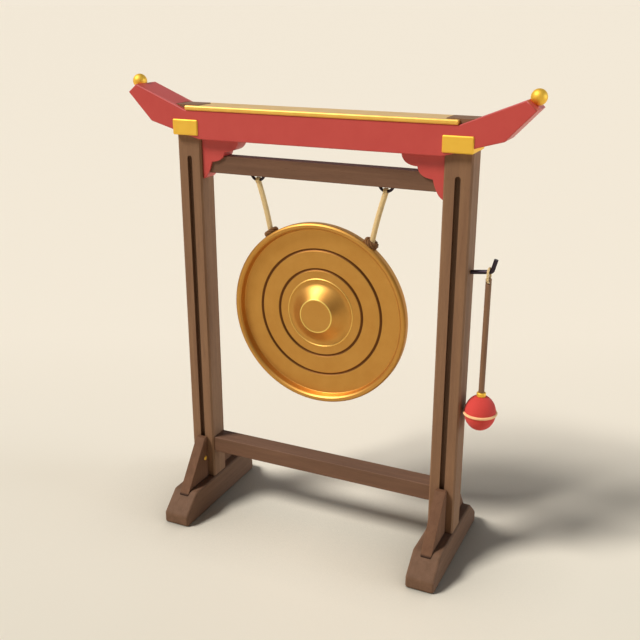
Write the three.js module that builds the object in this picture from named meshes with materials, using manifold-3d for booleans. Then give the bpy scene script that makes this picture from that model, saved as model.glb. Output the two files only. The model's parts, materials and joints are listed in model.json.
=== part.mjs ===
// Gong stand: two posts on sloped feet, a winged cross beam, a hanging bossed gong and its mallet.
// Millimetres, +Z up, origin on the floor midway between the posts. The viewer's side is -Y.
import * as THREE from 'three';
import { mergeVertices } from 'three/addons/utils/BufferGeometryUtils.js';
import Module from 'manifold-3d';

const wasm = await Module();
wasm.setup();

// Fits
const seatGap = 0.3;
const weldShare = 0.001;

// Feet
const footLength = 275;
const footWidth = 55.4;
const footHeight = 59.7;
const footEndHeight = 23.4;
const footSlopeLength = 41;

// Posts
const postSpacing = 524;
const postWidth = 50;
const postDepth = 46;
const postEdgeBevel = 3;
const postTopRise = 1.1;
const postTenonWidth = 28;
const postTenonDepth = 24;
const postTenonLength = 36;
const grooveWidth = 10;
const grooveDepth = 8;
const grooveBelowBeam = 32.8;
const grooveBehindBrace = 8.7;

// Braces and their pegs
const braceWidth = 21.6;
const braceHeight = 92;
const braceTopDepth = 9.9;
const braceToeReach = 10.5;
const pegDiameter = 9.5;
const pegLength = 13;
const pegRise = 0.8;
const pegFromPost = 11;
const pegHeightOnBrace = 45.8;

// Rails
const stretcherHeight = 33.1;
const stretcherDepth = 38.2;
const stretcherAboveFoot = 58.8;
const railHeight = 33.1;
const railDepth = 26;
const railBelowBeam = 63.8;
const railEdgeBevel = 1.2;
const tenonLength = 24;
const tenonShoulder = 5;

// Cross beam with its raised wings, measured out from the middle of each post
const beamUnderside = 772.3;
const beamHeight = 52.35;
const beamDepth = 63.8;
const beamEdgeBevel = 1.2;
const wingUndersideStart = 27.6;
const wingKneeReach = 75.7;
const wingKneeRise = 29.2;
const wingTipReach = 123.8;
const wingTipRise = 80.2;
const wingTopReach = 105.8;
const wingTopRise = 42.9;

// Top slab and post collars
const slabThickness = 8.3;
const slabDepth = 68.6;
const slabEndInset = 0.4;
const slabBevel = 1.8;
const collarWidth = 54;
const collarDepth = 68.9;
const collarHeight = 28.7;
const collarAboveBeamUnderside = 6.6;
const collarBevel = 1.8;

// Finial balls on the wing tips
const ballDiameter = 26.8;
const ballSink = 2.6;
const ballTowardTop = 3.9;
const ballSpigotDiameter = 8;
const ballSpigotLength = 22;

// Scalloped corner brackets
const bracketReach = 78;
const bracketDrop = 76;
const bracketDepth = 34;
const bracketBevel = 0.8;
const lobeReachShares = [1, 0.972, 0.62, 0.584, 0.26, 0.16, 0];
const lobeDropShares = [0, 0.283, 0.292, 0.535, 0.558, 0.947, 1];

// Staple eyes under the rail
const eyeRadius = 13.5;
const eyeWireDiameter = 5;
const eyeHang = 9;
const eyeLegLength = 20;

// Gong
const gongRadius = 176.5;
const gongBelowRail = 253.15;
const gongFrontY = -15.9;
const gongRimWidth = 11.3;
const gongRimFlare = 2.4;
const gongRimBevel = 3.2;
const gongRimDepth = 18.6;
const gongDishDepth = 15;
const bossHeight = 20.5;
const bossTopRadius = 32.6;
const bossEdge = 1;
const bossWall = 2.4;
const bossBaseRadius = 60;
const bossConeRadius = 53;
const ringRadius = 66.5;
const ringWidth = 3;
const ringRise = 1.1;
const outerGrooveRadius = 123.7;
const innerGrooveRadius = 85.7;
const faceGrooveWidth = 3;
const faceGrooveDepth = 1;

// Cords and the knots on the rim
const cordDiameter = 9.5;
const cordSplay = 23.67;
const cordTopInset = 1.4;
const cordBow = 1.5;
const cordEyeStrand = 4.4;
const cordEyePlay = 0.5;
const knotAngle = THREE.MathUtils.degToRad(34.5);
const knotRadius = 10.7;
const knotStrand = 8.6;

// Mallet hook
const hookDiameter = 7.6;
const hookRootHeight = 572.4;
const hookReach = 37.4;
const hookRise = 4.5;
const hookTipReach = 5.9;
const hookTipRise = 22.3;
const hookBendRadius = 6;
const hookBury = 22;

// Mallet
const loopStrand = 4.5;
const loopBendRadius = 9.3;
const loopStraight = 6.2;
const loopFromTip = 5;
const handleDiameter = 10.7;
const handleAboveHole = 6.2;
const handleVisibleLength = 210.5;
const handleTenonLength = 26;
const malletCollarDiameter = 16.7;
const malletCollarHeight = 10.4;
const malletCollarBevel = 1.2;
const headRadius = 28;
const headHalfHeight = 33;
const bandDiameter = 4.8;
const bandProud = 0.5;

// Facets
const gongTurn = 60;
const headTurn = 28;
const smallTurn = 16;
const ballTurn = 20;
const ovalSteps = 6;
const strandSides = 8;
const cordSides = 10;
const strandTurn = 24;
const loopTurn = 32;

// Heights and places that follow
const postX = postSpacing / 2;
const footFlatLength = footLength - 2 * footSlopeLength;
const stretcherUnderside = footHeight + stretcherAboveFoot;
const railUnderside = beamUnderside - railBelowBeam;
const collarUnderside = beamUnderside + collarAboveBeamUnderside;
const gongHeight = railUnderside - gongBelowRail;
const beamTop = beamUnderside + beamHeight;
const slabTop = beamTop + slabThickness;
const postTop = slabTop + postTopRise;
const postInnerX = postX - postWidth / 2;
const postOuterX = postX + postWidth / 2;
const braceTop = footHeight + braceHeight;
const grooveTopHeight = beamUnderside - grooveBelowBeam;
const grooveBottomHeight = braceTop - grooveBehindBrace;
const gongBackY = gongFrontY + gongRimDepth;
const gongFaceY = gongFrontY + gongDishDepth;
const eyeCentreZ = railUnderside - eyeHang + eyeRadius;
const eyeWireZ = eyeCentreZ - eyeRadius;
const cordEndFromCentre = gongRadius + seatGap + cordDiameter / 2;
const cordEndX = cordEndFromCentre * Math.sin(knotAngle);
const cordTopX = cordEndX + cordSplay;
const eyeX = cordTopX + cordTopInset;
const cordEndZ = gongHeight + cordEndFromCentre * Math.cos(knotAngle);
const hookCornerX = postOuterX + hookReach;
const hookCornerZ = hookRootHeight + hookRise;
const loopX = hookCornerX - loopFromTip;
const hookZAtLoop = hookCornerZ - (hookRise * loopFromTip) / hookReach;
const loopTopZ = hookZAtLoop + hookDiameter / 2 + loopStrand / 2 + seatGap;
const loopUpperZ = loopTopZ - loopBendRadius;
const loopLowerZ = loopUpperZ - loopStraight;
const loopBottomZ = loopLowerZ - loopBendRadius;
const handleTopZ = loopBottomZ + handleAboveHole;
const malletCollarTopZ = handleTopZ - handleVisibleLength;
const headTopZ = malletCollarTopZ - malletCollarHeight;
const headFlatShare = Math.sqrt(1 - (malletCollarDiameter / 2 / headRadius) ** 2);
const headZ = headTopZ - headHalfHeight * headFlatShare;

// Materials
function paint(colour, roughness, metalness) {
  return new THREE.MeshStandardMaterial({ color: colour, roughness, metalness });
}
const brownWood = paint(0x7a5740, 0.5, 0);
const redLacquer = paint(0xb5473f, 0.4, 0);
const giltTrim = paint(0xd9a93c, 0.35, 0.8);
const bronze = paint(0xb57e36, 0.3, 1);
const blackIron = paint(0x1c1a1c, 0.5, 0.7);
const strawCord = paint(0xd9b56a, 0.85, 0);
const darkCord = paint(0x5a3f2a, 0.8, 0);
const redLeather = paint(0xcf4640, 0.55, 0);
const creamBand = paint(0xe9c384, 0.5, 0.2);

// Solids from closed meshes, and back
function solid(geometry) {
  const bare = geometry.index ? geometry.toNonIndexed() : geometry.clone();
  bare.deleteAttribute('normal');
  bare.deleteAttribute('uv');
  const merged = mergeVertices(bare, seatGap * weldShare);
  return new wasm.Manifold(new wasm.Mesh({
    numProp: 3,
    vertProperties: new Float32Array(merged.attributes.position.array),
    triVerts: new Uint32Array(merged.index.array),
  }));
}

function geometryOf(body) {
  const mesh = body.getMesh();
  const geometry = new THREE.BufferGeometry();
  geometry.setAttribute('position', new THREE.BufferAttribute(mesh.vertProperties, 3));
  geometry.setIndex(new THREE.BufferAttribute(mesh.triVerts, 1));
  geometry.computeVertexNormals();
  return geometry;
}

function cut(geometry, ...cutters) {
  return geometryOf(cutters.reduce((body, cutter) => body.subtract(solid(cutter)), solid(geometry)));
}

function join(geometry, ...others) {
  return geometryOf(others.reduce((body, other) => body.add(solid(other)), solid(geometry)));
}

// Shapes
function block(width, depth, height, x, y, z) {
  return new THREE.BoxGeometry(width, depth, height).translate(x, y, z);
}

function uprightBlock(width, depth, bottom, top, x) {
  return block(width, depth, top - bottom, x, 0, (top + bottom) / 2);
}

function chamferedOutline(width, depth, chamfer) {
  const w = width / 2;
  const d = depth / 2;
  const outline = new THREE.Shape();
  outline.moveTo(-w + chamfer, -d).lineTo(w - chamfer, -d).lineTo(w, -d + chamfer);
  outline.lineTo(w, d - chamfer).lineTo(w - chamfer, d).lineTo(-w + chamfer, d);
  outline.lineTo(-w, d - chamfer).lineTo(-w, -d + chamfer).closePath();
  return outline;
}

function bevelled(outline, depth, bevel) {
  return new THREE.ExtrudeGeometry(outline, {
    depth: depth - 2 * bevel,
    bevelEnabled: true,
    bevelThickness: bevel,
    bevelSize: bevel,
    bevelOffset: -bevel,
    bevelSegments: 1,
    curveSegments: smallTurn / 2,
  }).translate(0, 0, bevel - depth / 2);
}

function plain(outline, depth) {
  const sides = { depth, bevelEnabled: false, curveSegments: smallTurn / 2 };
  return new THREE.ExtrudeGeometry(outline, sides).translate(0, 0, -depth / 2);
}

// An outline drawn in X and Z, given thickness along Y
function alongY(geometry) {
  return geometry.rotateX(Math.PI / 2);
}

// An outline drawn in Y and Z, given thickness along X
function alongX(geometry) {
  return geometry.rotateX(Math.PI / 2).rotateZ(Math.PI / 2);
}

function polygon(points) {
  return new THREE.Shape(points.map(([x, y]) => new THREE.Vector2(x, y)));
}

// A round strand along a path
function strand(path, diameter, sideCount, steps) {
  const section = [];
  for (let i = 0; i < sideCount; i += 1) {
    const turn = (2 * Math.PI * i) / sideCount;
    section.push([(diameter / 2) * Math.cos(turn), (diameter / 2) * Math.sin(turn)]);
  }
  return new THREE.ExtrudeGeometry(polygon(section), { extrudePath: path, steps, bevelEnabled: false });
}

function lathe(points, turns) {
  const profile = points.map(([r, y]) => new THREE.Vector2(r, y));
  return new THREE.LatheGeometry(profile, turns);
}

// Stand-up lathe: the profile's height runs along Z
function upright(geometry) {
  return geometry.rotateX(Math.PI / 2);
}

const object = new THREE.Group();

function add(name, geometry, material, x = 0, y = 0, z = 0) {
  const mesh = new THREE.Mesh(geometry, material);
  mesh.name = name;
  mesh.position.set(x, y, z);
  object.add(mesh);
  return mesh;
}

// Sides: X grows to the right
const sides = [['left', -1], ['right', 1]];
const faces = [['front', -1], ['back', 1]];

// Feet
function footSlopeZ(y) {
  const fall = (footHeight - footEndHeight) / footSlopeLength;
  return footHeight - (y - footFlatLength / 2) * fall;
}

function foot() {
  const end = footLength / 2;
  const flat = footFlatLength / 2;
  const outline = polygon([
    [-end, 0], [end, 0], [end, footEndHeight], [flat, footHeight],
    [-flat, footHeight], [-end, footEndHeight],
  ]);
  const body = alongX(plain(outline, footWidth));
  const mortiseTop = footHeight + postTenonLength;
  const mortiseBottom = footHeight - postTenonLength - seatGap;
  return cut(body, uprightBlock(
    postTenonWidth + 2 * seatGap, postTenonDepth + 2 * seatGap, mortiseBottom, mortiseTop, 0,
  ));
}

// Posts, with a stopped groove down the front
function post(side) {
  const outline = chamferedOutline(postWidth, postDepth, postEdgeBevel);
  const shaft = plain(outline, postTop - footHeight).translate(0, 0, (postTop + footHeight) / 2);
  const tenon = uprightBlock(
    postTenonWidth, postTenonDepth, footHeight - postTenonLength, footHeight + postTenonLength, 0,
  );
  const r = grooveWidth / 2;
  const groove = new THREE.Shape();
  groove.moveTo(-r, grooveBottomHeight).lineTo(r, grooveBottomHeight);
  groove.lineTo(r, grooveTopHeight - r).absarc(0, grooveTopHeight - r, r, 0, Math.PI);
  groove.closePath();
  const channel = alongY(plain(groove, 2 * grooveDepth)).translate(0, -postDepth / 2, 0);
  const cutters = [channel, ...socketCutters(side)];
  if (side > 0) {
    cutters.push(hookBody(hookDiameter + 2 * seatGap, hookBury + seatGap).translate(-postX, 0, 0));
  }
  return cut(join(shaft, tenon), ...cutters);
}

// Mortises for the stretcher's and the rail's tenons, on the inner face of a post at X = 0
function socketCutters(side) {
  const length = tenonLength + seatGap;
  const rails = [
    [stretcherUnderside, stretcherHeight, stretcherDepth],
    [railUnderside, railHeight, railDepth],
  ];
  return rails.map(([underside, height, depth]) => block(
    2 * length,
    depth - 2 * tenonShoulder + 2 * seatGap,
    height - 2 * tenonShoulder + 2 * seatGap,
    (-side * postWidth) / 2, 0, underside + height / 2,
  ));
}

function rail(underside, height, depth, bevel) {
  const length = 2 * postInnerX;
  const body = alongX(plain(chamferedOutline(depth, height, bevel), length));
  const tenons = block(
    length + 2 * tenonLength, depth - 2 * tenonShoulder, height - 2 * tenonShoulder, 0, 0, 0,
  );
  return join(body, tenons).translate(0, 0, underside + height / 2);
}

// Slanted brace against a post; its bottom lies over the foot's edge and slope
function brace() {
  const back = postDepth / 2;
  const edge = footFlatLength / 2;
  const toe = edge + braceToeReach;
  const outline = polygon([
    [back, footHeight], [edge, footHeight], [toe, footSlopeZ(toe) + 2 * seatGap],
    [back + braceTopDepth, braceTop], [back, braceTop],
  ]);
  return alongX(plain(outline, braceWidth));
}

function peg(diameter, length) {
  return new THREE.CylinderGeometry(diameter / 2, diameter / 2, length, smallTurn).rotateZ(Math.PI / 2);
}

// Cross beam outline, mirrored about the middle
function beamOutline() {
  const half = [
    [postX - wingUndersideStart, beamUnderside],
    [postX + wingKneeReach, beamUnderside + wingKneeRise],
    [postX + wingTipReach, beamUnderside + wingTipRise],
    [postX + wingTopReach, beamTop + wingTopRise],
    [postX, beamTop],
  ];
  const mirrored = half.map(([x, z]) => [-x, z]).reverse();
  return polygon([...half, ...mirrored]);
}

function beamBody(grow) {
  return alongY(bevelled(beamOutline(), beamDepth + 2 * grow, beamEdgeBevel));
}

// Middle of a wing's end face and its outward direction
function wingEnd() {
  const low = new THREE.Vector2(postX + wingTipReach, beamUnderside + wingTipRise);
  const high = new THREE.Vector2(postX + wingTopReach, beamTop + wingTopRise);
  const along = high.clone().sub(low).normalize();
  const out = new THREE.Vector2(along.y, -along.x);
  const middle = low.clone().add(high).multiplyScalar(1 / 2);
  return { middle, along, out };
}

function ballCentre() {
  const { middle, along, out } = wingEnd();
  const centre = middle.clone().addScaledVector(out, ballDiameter / 2 - ballSink);
  return centre.addScaledVector(along, ballTowardTop);
}

// Ball on a hidden spigot; the right one, with its middle at the origin
function ball(grow) {
  const { out } = wingEnd();
  const globe = new THREE.SphereGeometry(ballDiameter / 2 + grow, ballTurn, ballTurn / 2);
  const radius = ballSpigotDiameter / 2 + grow;
  const spigot = new THREE.CylinderGeometry(radius, radius, ballSpigotLength + grow, smallTurn);
  spigot.translate(0, -(ballSpigotLength + grow) / 2, 0).rotateX(Math.PI / 2);
  spigot.rotateY(Math.atan2(out.x, out.y));
  return join(globe, spigot);
}

function cutBeam() {
  const mortise = uprightBlock(
    postWidth + 2 * seatGap, postDepth + 2 * seatGap,
    beamUnderside - beamHeight, beamTop + beamHeight, 0,
  );
  const centre = ballCentre();
  const seat = ball(seatGap).translate(centre.x, 0, centre.y);
  return cut(
    beamBody(0),
    mortise.clone().translate(postX, 0, 0), mortise.clone().translate(-postX, 0, 0),
    seat, seat.clone().rotateZ(Math.PI),
  );
}

// Gilt slab along the top, notched round the posts
function slab() {
  const outline = chamferedOutline(2 * (postX - slabEndInset), slabDepth, slabBevel);
  const plate = bevelled(outline, slabThickness, slabBevel).translate(0, 0, beamTop + slabThickness / 2);
  const notch = uprightBlock(
    postWidth + 2 * seatGap, postDepth + 2 * seatGap, beamTop - slabThickness, slabTop + slabThickness, 0,
  );
  return cut(plate, notch.clone().translate(postX, 0, 0), notch.clone().translate(-postX, 0, 0));
}

// Gilt collar: a plate before and behind the beam, joined below the wing; the right one
function collar() {
  const outline = chamferedOutline(collarWidth, collarHeight, collarBevel);
  const body = alongY(bevelled(outline, collarDepth, collarBevel));
  body.translate(postX, 0, collarUnderside + collarHeight / 2);
  const hole = uprightBlock(
    postWidth + 2 * seatGap, postDepth + 2 * seatGap,
    collarUnderside - collarHeight, beamTop, postX,
  );
  return cut(body, beamBody(seatGap).translate(0, 0, -seatGap), hole);
}

// Scalloped bracket under the beam, slotted for the rail; the right one
function bracket() {
  const at = lobeReachShares.map((share, i) => [
    postInnerX - share * bracketReach,
    beamUnderside - lobeDropShares[i] * bracketDrop,
  ]);
  const outline = new THREE.Shape();
  outline.moveTo(...at[0]);
  for (let i = 1; i < at.length; i += 2) {
    outline.quadraticCurveTo(...at[i], ...at[i + 1]);
  }
  outline.lineTo(postInnerX, beamUnderside).closePath();
  const slot = block(
    2 * (bracketReach + tenonLength), railDepth + 2 * seatGap, railHeight + 2 * seatGap,
    postInnerX, 0, railUnderside + railHeight / 2,
  );
  return cut(alongY(bevelled(outline, bracketDepth, bracketBevel)), slot);
}

// Staple eye: a half ring with two legs driven up into the rail, middle of the ring at the origin
function stapleEye(diameter, extra) {
  const legs = eyeHang - eyeRadius + eyeLegLength + extra;
  const points = [new THREE.Vector3(-eyeRadius, 0, legs)];
  for (let i = 0; i <= strandSides; i += 1) {
    const turn = Math.PI + (Math.PI * i) / strandSides;
    points.push(new THREE.Vector3(eyeRadius * Math.cos(turn), 0, eyeRadius * Math.sin(turn)));
  }
  points.push(new THREE.Vector3(eyeRadius, 0, legs));
  return strand(new THREE.CatmullRomCurve3(points), diameter, strandSides, strandTurn);
}

function railWithEyes() {
  const cutters = sides.map(([, side]) => stapleEye(eyeWireDiameter + 2 * seatGap, seatGap)
    .translate(side * eyeX, 0, eyeCentreZ));
  return cut(rail(railUnderside, railHeight, railDepth, railEdgeBevel), ...cutters);
}

// Gong: a dish whose thick rim stands forward of the face, with a flat-topped boss, turned about Y
function gong() {
  const front = gongFrontY;
  const face = gongFaceY;
  const back = gongBackY;
  const plate = back - face;
  const bossTop = face - bossHeight;
  const rimInner = gongRadius - gongRimWidth;
  const flare = (shift, inset) => new THREE.QuadraticBezierCurve(
    new THREE.Vector2(bossTopRadius + bossEdge - inset, bossTop + bossEdge + shift),
    new THREE.Vector2(bossConeRadius - inset, face + shift),
    new THREE.Vector2(bossBaseRadius - inset, face + shift),
  ).getPoints(strandSides / 2).map((p) => [p.x, p.y]);
  const groove = (radius) => [
    [radius - faceGrooveWidth / 2, face],
    [radius, face + faceGrooveDepth],
    [radius + faceGrooveWidth / 2, face],
  ];
  return lathe([
    [0, bossTop], [bossTopRadius, bossTop], ...flare(0, 0),
    [ringRadius - ringWidth / 2, face], [ringRadius, face - ringRise], [ringRadius + ringWidth / 2, face],
    ...groove(innerGrooveRadius), ...groove(outerGrooveRadius),
    [rimInner - gongRimFlare, face], [rimInner, front + gongRimBevel],
    [rimInner + gongRimBevel, front], [gongRadius - gongRimBevel, front],
    [gongRadius, front + gongRimBevel], [gongRadius, back - bossWall], [gongRadius - bossWall, back],
    ...flare(plate, bossWall).reverse(),
    [bossTopRadius - bossWall, bossTop + plate], [0, bossTop + plate],
  ], gongTurn);
}

// Cord from its eye round the staple down to a rounded end in the knot on the rim; the right one
function cord() {
  const topZ = eyeWireZ - eyeWireDiameter / 2;
  const top = new THREE.Vector3(cordTopX, 0, topZ);
  const bottom = new THREE.Vector3(cordEndX, 0, cordEndZ);
  const middle = top.clone().add(bottom).multiplyScalar(1 / 2);
  middle.x -= 2 * cordBow;
  const route = new THREE.QuadraticBezierCurve3(bottom, middle, top);
  const body = strand(route, cordDiameter, cordSides, cordSides / 2);
  const end = new THREE.SphereGeometry(cordDiameter / 2, cordSides, cordSides / 2);
  const hole = eyeWireDiameter / 2 + cordEyePlay;
  const eyeZ = eyeWireZ - cordEyePlay + seatGap;
  const eye = new THREE.TorusGeometry(hole + cordEyeStrand / 2, cordEyeStrand / 2, strandSides, smallTurn);
  eye.rotateY(Math.PI / 2).translate(cordTopX, 0, eyeZ);
  const bore = new THREE.CylinderGeometry(hole, hole, 2 * cordDiameter, smallTurn).rotateZ(Math.PI / 2);
  bore.translate(cordTopX, 0, eyeZ);
  return cut(join(body, end.translate(cordEndX, 0, cordEndZ), eye), bore);
}

// Knot: a ring of dark cord on the gong's rim round the end of the cord, its axis pointing outward
function knot(side) {
  const ring = new THREE.TorusGeometry(knotRadius, knotStrand / 2, strandSides, strandTurn);
  return ring.rotateY(side * knotAngle);
}

// Mallet hook: a rod out of the right post, bent up at its tip
function hookBody(diameter, bury) {
  const root = new THREE.Vector3(postOuterX, 0, hookRootHeight);
  const corner = new THREE.Vector3(hookCornerX, 0, hookCornerZ);
  const tip = new THREE.Vector3(hookCornerX + hookTipReach, 0, hookCornerZ + hookTipRise);
  const out = corner.clone().sub(root).normalize();
  const up = tip.clone().sub(corner).normalize();
  const reach = hookBendRadius * Math.tan(out.angleTo(up) / 2);
  const before = corner.clone().addScaledVector(out, -reach);
  const after = corner.clone().addScaledVector(up, reach);
  const path = new THREE.CurvePath();
  path.add(new THREE.LineCurve3(root.clone().addScaledVector(out, -bury), before));
  path.add(new THREE.QuadraticBezierCurve3(before, corner, after));
  path.add(new THREE.LineCurve3(after, tip));
  return strand(path, diameter, cordSides, strandTurn);
}

// Mallet loop: an upright oval of cord over the hook; its ends meet inside the handle's hole
function malletLoop() {
  const points = [];
  const gapTurn = seatGap / loopBendRadius;
  const arc = (from, to, z) => {
    for (let i = 0; i <= strandSides; i += 1) {
      const turn = from + ((to - from) * i) / strandSides;
      points.push(new THREE.Vector3(
        0, loopBendRadius * Math.cos(turn), z + loopBendRadius * Math.sin(turn),
      ));
    }
  };
  arc(-Math.PI / 2 + gapTurn, 0, loopLowerZ);
  arc(0, Math.PI, loopUpperZ);
  arc(Math.PI, (3 * Math.PI) / 2 - gapTurn, loopLowerZ);
  return strand(new THREE.CatmullRomCurve3(points), loopStrand, strandSides, loopTurn);
}

// Handle with a hole across its top that flares as the loop's bend does
function malletHandle() {
  const radius = handleDiameter / 2;
  const bottom = headTopZ - handleTenonLength + seatGap;
  const rod = new THREE.CylinderGeometry(radius, radius, handleTopZ - bottom, smallTurn);
  upright(rod).translate(0, 0, (handleTopZ + bottom) / 2);
  const last = radius + seatGap;
  const inside = loopBendRadius - loopStrand / 2 - seatGap;
  const profile = [[0, -last]];
  for (let i = -strandSides / 2; i <= strandSides / 2; i += 1) {
    const y = (2 * last * i) / strandSides;
    profile.push([loopBendRadius - Math.sqrt(inside ** 2 - y ** 2), y]);
  }
  profile.push([0, last]);
  return cut(rod, lathe(profile, smallTurn).translate(0, 0, loopBottomZ));
}

function malletCollar() {
  const inner = handleDiameter / 2 + seatGap;
  const outer = malletCollarDiameter / 2;
  const b = malletCollarBevel;
  const h = malletCollarHeight;
  return upright(lathe([
    [inner, 0], [outer - b, 0], [outer, b], [outer, h - b], [outer - b, h], [inner, h], [inner, 0],
  ], strandTurn));
}

// Head: an oval with a channel for the band and a blind bore for the handle
function malletHead() {
  const channel = bandDiameter / 2 + seatGap;
  const bandRadius = headRadius + bandProud;
  const grip = 2 * Math.asin(channel / 2 / headHalfHeight);
  const flat = Math.asin(headFlatShare);
  const oval = (from, to) => {
    const points = [];
    for (let i = 0; i <= ovalSteps; i += 1) {
      const turn = from + ((to - from) * i) / ovalSteps;
      points.push([headRadius * Math.cos(turn), headHalfHeight * Math.sin(turn)]);
    }
    return points;
  };
  const groove = [];
  for (let i = 1; i < ovalSteps; i += 1) {
    const turn = -Math.PI / 2 - (Math.PI * i) / ovalSteps;
    groove.push([bandRadius + channel * Math.cos(turn), channel * Math.sin(turn)]);
  }
  const bore = handleDiameter / 2 + seatGap;
  const top = headHalfHeight * headFlatShare;
  const lower = oval(-Math.PI / 2, -grip);
  lower[0][0] = 0;
  return upright(lathe([
    ...lower, ...groove, ...oval(grip, flat),
    [bore, top], [bore, top - handleTenonLength], [0, top - handleTenonLength],
  ], headTurn));
}

function malletBand() {
  return new THREE.TorusGeometry(headRadius + bandProud, bandDiameter / 2, strandSides, loopTurn);
}

// The frame
const stretcher = rail(stretcherUnderside, stretcherHeight, stretcherDepth, railEdgeBevel);
add('bottom_stretcher', stretcher, brownWood);
add('upper_rail', railWithEyes(), brownWood);
add('cross_beam', cutBeam(), redLacquer);
add('top_slab', slab(), giltTrim);
for (const [name, side] of sides) {
  const turn = side > 0 ? 0 : Math.PI;
  const x = side * postX;
  add(`${name}_foot`, foot(), brownWood, x);
  add(`${name}_post`, post(side), brownWood, x);
  add(`${name}_bracket`, bracket().rotateZ(turn), redLacquer);
  add(`${name}_collar`, collar().rotateZ(turn), giltTrim);
  const centre = ballCentre();
  add(`${name}_finial_ball`, ball(0).rotateZ(turn), giltTrim, side * centre.x, 0, centre.y);
  add(`${name}_staple_eye`, stapleEye(eyeWireDiameter, 0), blackIron, side * eyeX, 0, eyeCentreZ);
}

// Braces, each with a peg whose round end shows on its inner side
const pegZ = footHeight + pegHeightOnBrace;
for (const [name, side] of sides) {
  const inner = postX - braceWidth / 2;
  const pegX = side * (inner - pegRise + pegLength / 2);
  for (const [faceName, face] of faces) {
    const pegY = face * (postDepth / 2 + pegFromPost);
    const pegHole = peg(pegDiameter + 2 * seatGap, 2 * (pegLength - pegRise + seatGap));
    pegHole.translate((-side * braceWidth) / 2, pegY, pegZ);
    const body = cut(brace().rotateZ(face > 0 ? 0 : Math.PI), pegHole);
    add(`${name}_${faceName}_brace`, body, brownWood, side * postX);
    add(`${name}_${faceName}_peg`, peg(pegDiameter, pegLength), giltTrim, pegX, pegY, pegZ);
  }
}

// The hanging gong
add('gong', gong(), bronze, 0, 0, gongHeight);
for (const [name, side] of sides) {
  const out = gongRadius + seatGap + knotStrand / 2;
  const knotX = side * out * Math.sin(knotAngle);
  const knotZ = gongHeight + out * Math.cos(knotAngle);
  add(`${name}_cord`, cord().rotateZ(side > 0 ? 0 : Math.PI), strawCord);
  add(`${name}_rim_knot`, knot(side), darkCord, knotX, 0, knotZ);
}

// The mallet on its hook
add('mallet_hook', hookBody(hookDiameter, hookBury), blackIron);
add('mallet_loop', malletLoop(), strawCord, loopX);
add('mallet_handle', malletHandle(), brownWood, loopX);
add('mallet_collar', malletCollar(), giltTrim, loopX, 0, headTopZ);
add('mallet_head', malletHead(), redLeather, loopX, 0, headZ);
add('mallet_band', malletBand(), creamBand, loopX, 0, headZ);

export default object;
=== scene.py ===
"""Looks of the gong stand: lacquered and oiled wood, gilt trim, a bronze gong on laid cords, and its mallet.

Every place is in the CAD frame: X to the right, Y to the back, Z up, in metres.
"""

import json
import math

import bmesh
import bpy
from mathutils import Matrix, Vector


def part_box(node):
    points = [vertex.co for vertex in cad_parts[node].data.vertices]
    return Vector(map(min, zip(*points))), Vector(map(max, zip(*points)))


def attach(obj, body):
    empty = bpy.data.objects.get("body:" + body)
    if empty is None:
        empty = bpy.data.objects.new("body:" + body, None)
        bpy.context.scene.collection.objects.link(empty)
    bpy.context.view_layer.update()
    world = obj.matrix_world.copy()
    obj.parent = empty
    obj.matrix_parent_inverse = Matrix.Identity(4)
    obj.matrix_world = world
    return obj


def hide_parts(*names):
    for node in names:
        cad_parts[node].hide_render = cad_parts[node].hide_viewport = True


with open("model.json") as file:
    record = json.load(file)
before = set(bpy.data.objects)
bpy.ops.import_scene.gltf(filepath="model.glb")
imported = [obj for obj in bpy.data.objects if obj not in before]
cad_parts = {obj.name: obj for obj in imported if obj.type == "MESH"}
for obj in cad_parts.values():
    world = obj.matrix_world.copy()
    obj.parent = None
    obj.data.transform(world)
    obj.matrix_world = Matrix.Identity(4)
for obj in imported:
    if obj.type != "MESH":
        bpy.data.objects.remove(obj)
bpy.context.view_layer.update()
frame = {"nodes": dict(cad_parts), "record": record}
scene = bpy.context.scene
scene.view_settings.view_transform = "Standard"
MM = 0.001
RIGHTWARD, BACKWARD, UPWARD = Vector((1, 0, 0)), Vector((0, 1, 0)), Vector((0, 0, 1))
SIDES = ((-1, "left"), (1, "right"))

# Camera: a 50 mm lens on a 36 mm sensor, to the right of the front and a little above
CAMERA_PLACE = (0.6740, -1.4489, 1.0063)
CAMERA_AZIMUTH, CAMERA_ELEVATION = 24.9637, 19.4677
LENS_LENGTH, SENSOR_WIDTH, FARTHEST_VIEW = 50, 36, 5000
lens = bpy.data.cameras.new("camera")
lens.lens = LENS_LENGTH
lens.sensor_width = SENSOR_WIDTH
lens.clip_end = FARTHEST_VIEW
camera = bpy.data.objects.new("camera", lens)
camera.location = CAMERA_PLACE
camera.rotation_euler = (math.radians(90 - CAMERA_ELEVATION), 0, math.radians(CAMERA_AZIMUTH))
scene.collection.objects.link(camera)
scene.camera = camera


# Helpers for colours, nodes and meshes
def linear(colour):
    """An sRGB hex colour as linear RGBA."""
    made = []
    for i in (0, 2, 4):
        c = int(colour[i:i + 2], 16) / 255
        made.append(c / 12.92 if c <= 0.04045 else ((c + 0.055) / 1.055) ** 2.4)
    return (*made, 1.0)


def add_node(tree, kind, settings=None, inputs=None):
    """Adds a node with its settings and inputs. Inputs are listed in the node's own order, or named by
    identifier or name. Each is a value, a socket, or another node, whose first working output is taken."""
    made = tree.nodes.new(kind)
    for name, value in (settings or {}).items():
        setattr(made, name, value)
    given = inputs.items() if isinstance(inputs, dict) else enumerate(inputs or ())
    for name, value in given:
        by_identifier = [s for s in made.inputs if s.identifier == name]
        socket = by_identifier[0] if by_identifier else made.inputs[name]
        if isinstance(value, bpy.types.Node):
            value = next(s for s in value.outputs if s.enabled)
        if isinstance(value, bpy.types.NodeSocket):
            tree.links.new(value, socket)
        else:
            socket.default_value = value
    return made


def body_of(node):
    return next(b for b, members in frame["record"]["behaviour"]["bodies"].items() if node in members)


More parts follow.
